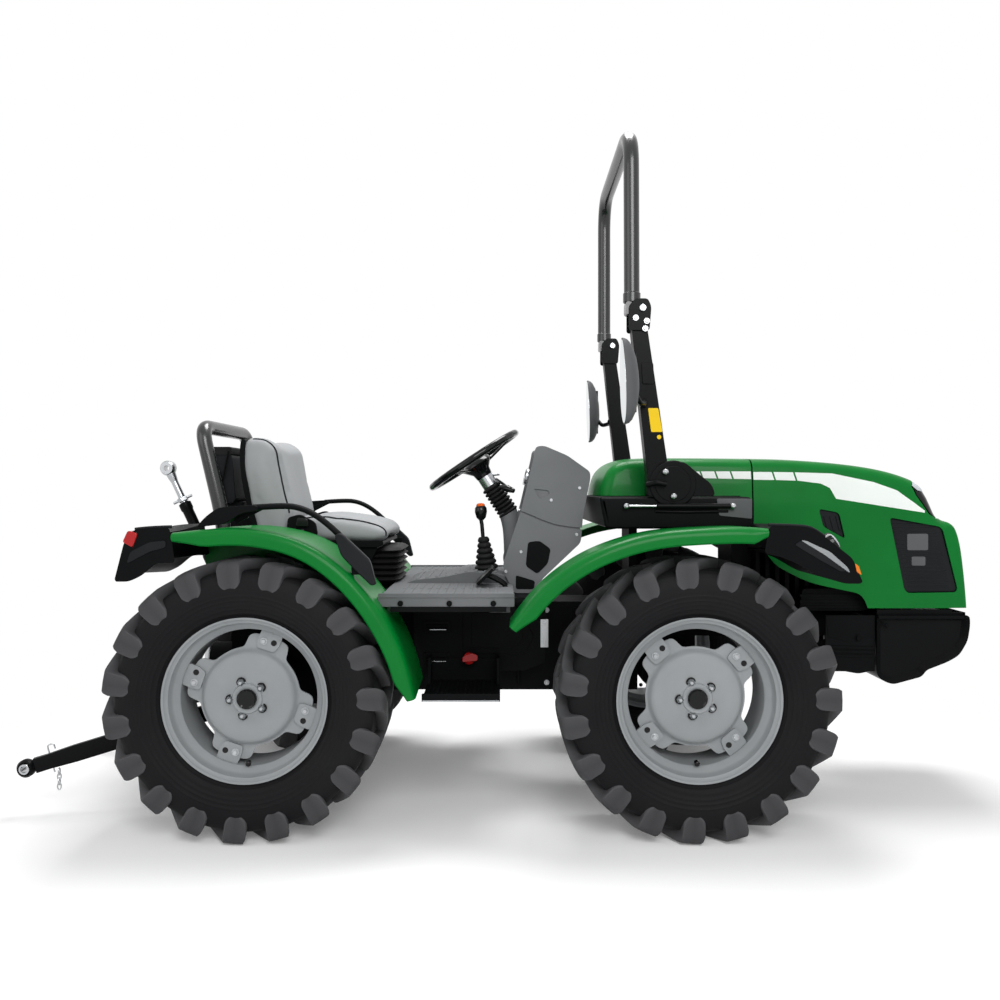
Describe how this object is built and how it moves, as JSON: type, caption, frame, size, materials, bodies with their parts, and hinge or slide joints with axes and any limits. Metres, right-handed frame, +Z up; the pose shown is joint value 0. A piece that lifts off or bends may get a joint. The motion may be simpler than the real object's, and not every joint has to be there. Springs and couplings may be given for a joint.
{
  "type": "compact four-wheel-drive farm tractor",
  "caption": "Compact open farm tractor with equal lugged wheels, steered front axle, folding front roll bar, tilting hood, driver station and rear implement hitch",
  "frame": {"origin": "on the ground under the middle of the machine", "axes": "+X forward, +Y to the left, +Z up"},
  "size_m": [3.141, 1.202, 2.237],
  "materials": {
    "tyre": "matte",
    "wheel_paint": "satin",
    "green_plastic": "gloss",
    "black_paint": "satin",
    "cast_iron": "rough",
    "black_plastic": "matte",
    "grey_plastic": "matte",
    "vinyl": "satin",
    "steel": "satin",
    "rubber": "matte",
    "lens": "gloss",
    "black_gloss": "gloss",
    "rubber_mat": "matte",
    "aluminium": "satin"
  },
  "bodies": {
    "chassis": {"belly_panels": "black_plastic", "cowl": "green_plastic", "cowl_band": "black_plastic", "dash_console": "grey_plastic", "engine_block": "cast_iron", "fender_lamps": "lens", "fender_tails": "black_plastic", "floor_mat": "rubber_mat", "foot_platform": "black_paint", "front_axle": "cast_iron", "front_bumper": "black_paint", "front_fenders": "green_plastic", "front_frame": "cast_iron", "gear_lever": "rubber", "hand_rails": "black_paint", "hitch_bracket": "black_paint", "mirrors": "grey_plastic", "radiator": "aluminium", "rear_fenders": "green_plastic", "rear_housing": "cast_iron", "rops_posts": "black_paint", "seat_backrest": "vinyl", "seat_base": "rubber", "seat_cushion": "vinyl", "seat_hoop": "black_paint", "transmission": "cast_iron"},
    "wheel_front_left": {"tyre_front_left": "tyre", "rim_front_left": "wheel_paint"},
    "wheel_front_right": {"tyre_front_right": "tyre", "rim_front_right": "wheel_paint"},
    "wheel_rear_left": {"tyre_rear_left": "tyre", "rim_rear_left": "wheel_paint"},
    "wheel_rear_right": {"tyre_rear_right": "tyre", "rim_rear_right": "wheel_paint"},
    "knuckle_left": {"knuckle_left": "cast_iron"},
    "knuckle_right": {"knuckle_right": "cast_iron"},
    "steering_wheel": {"steering_wheel": "black_plastic"},
    "hood": {"hood": "green_plastic", "hood_grilles": "grey_plastic", "headlamps": "black_gloss"},
    "rops_hoop": {"rops_hoop": "black_paint"},
    "top_link": {"top_link": "steel"},
    "lower_links": {"lower_links": "black_paint"},
    "lift_arms": {"lift_arms": "cast_iron"},
    "lift_rods": {"lift_rods": "steel"}
  },
  "joints": [
    {"name": "steer_left", "type": "hinge", "parent": "chassis", "child": "knuckle_left", "pos_m": [0.571, 0.37, 0.4245], "axis": [0, 0, 1], "range_deg": [-30, 30]},
    {"name": "spin_front_left", "type": "hinge", "parent": "knuckle_left", "child": "wheel_front_left", "pos_m": [0.571, 0.46, 0.4245], "axis": [0, 1, 0], "continuous": true},
    {"name": "spin_rear_left", "type": "hinge", "parent": "chassis", "child": "wheel_rear_left", "pos_m": [-0.787, 0.46, 0.4245], "axis": [0, 1, 0], "continuous": true},
    {"name": "steer_right", "type": "hinge", "parent": "chassis", "child": "knuckle_right", "pos_m": [0.571, -0.37, 0.4245], "axis": [0, 0, 1], "range_deg": [-30, 30]},
    {"name": "spin_front_right", "type": "hinge", "parent": "knuckle_right", "child": "wheel_front_right", "pos_m": [0.571, -0.46, 0.4245], "axis": [0, 1, 0], "continuous": true},
    {"name": "spin_rear_right", "type": "hinge", "parent": "chassis", "child": "wheel_rear_right", "pos_m": [-0.787, -0.46, 0.4245], "axis": [0, 1, 0], "continuous": true},
    {"name": "steering_wheel_turn", "type": "hinge", "parent": "chassis", "child": "steering_wheel", "pos_m": [-0.09423, 0, 1.12343], "axis": [-0.5505, 0, 0.8348], "range_deg": [-540, 540]},
    {"name": "hood_open", "type": "hinge", "parent": "chassis", "child": "hood", "pos_m": [1.54, 0, 0.666], "axis": [0, 1, 0], "range_deg": [0, 50]},
    {"name": "rops_fold", "type": "hinge", "parent": "chassis", "child": "rops_hoop", "pos_m": [0.428, 0, 1.631], "axis": [0, 1, 0], "range_deg": [0, 120]},
    {"name": "top_link_swing", "type": "hinge", "parent": "chassis", "child": "top_link", "pos_m": [-1, 0, 0.64], "axis": [0, 1, 0], "range_deg": [-75, 5]},
    {"name": "lower_links_lift", "type": "hinge", "parent": "chassis", "child": "lower_links", "pos_m": [-0.88, 0, 0.335], "axis": [0, 1, 0], "range_deg": [-3, 35]},
    {"name": "lift_arms_turn", "type": "hinge", "parent": "chassis", "child": "lift_arms", "pos_m": [-0.9, 0, 0.61], "axis": [0, 1, 0], "range_deg": [-4.5, 49]},
    {"name": "lift_rods_swing", "type": "hinge", "parent": "lift_arms", "child": "lift_rods", "pos_m": [-1.12, 0, 0.64], "axis": [0, 1, 0], "range_deg": [-35, 3.5]}
  ],
  "couplings": [
    {"joint": "steer_right", "follows": "steer_left", "ratio": 1},
    {"joint": "steering_wheel_turn", "follows": "steer_left", "ratio": 18},
    {"joint": "lift_arms_turn", "follows": "lower_links_lift", "ratio": 1.38},
    {"joint": "lift_rods_swing", "follows": "lower_links_lift", "ratio": -0.99}
  ]
}
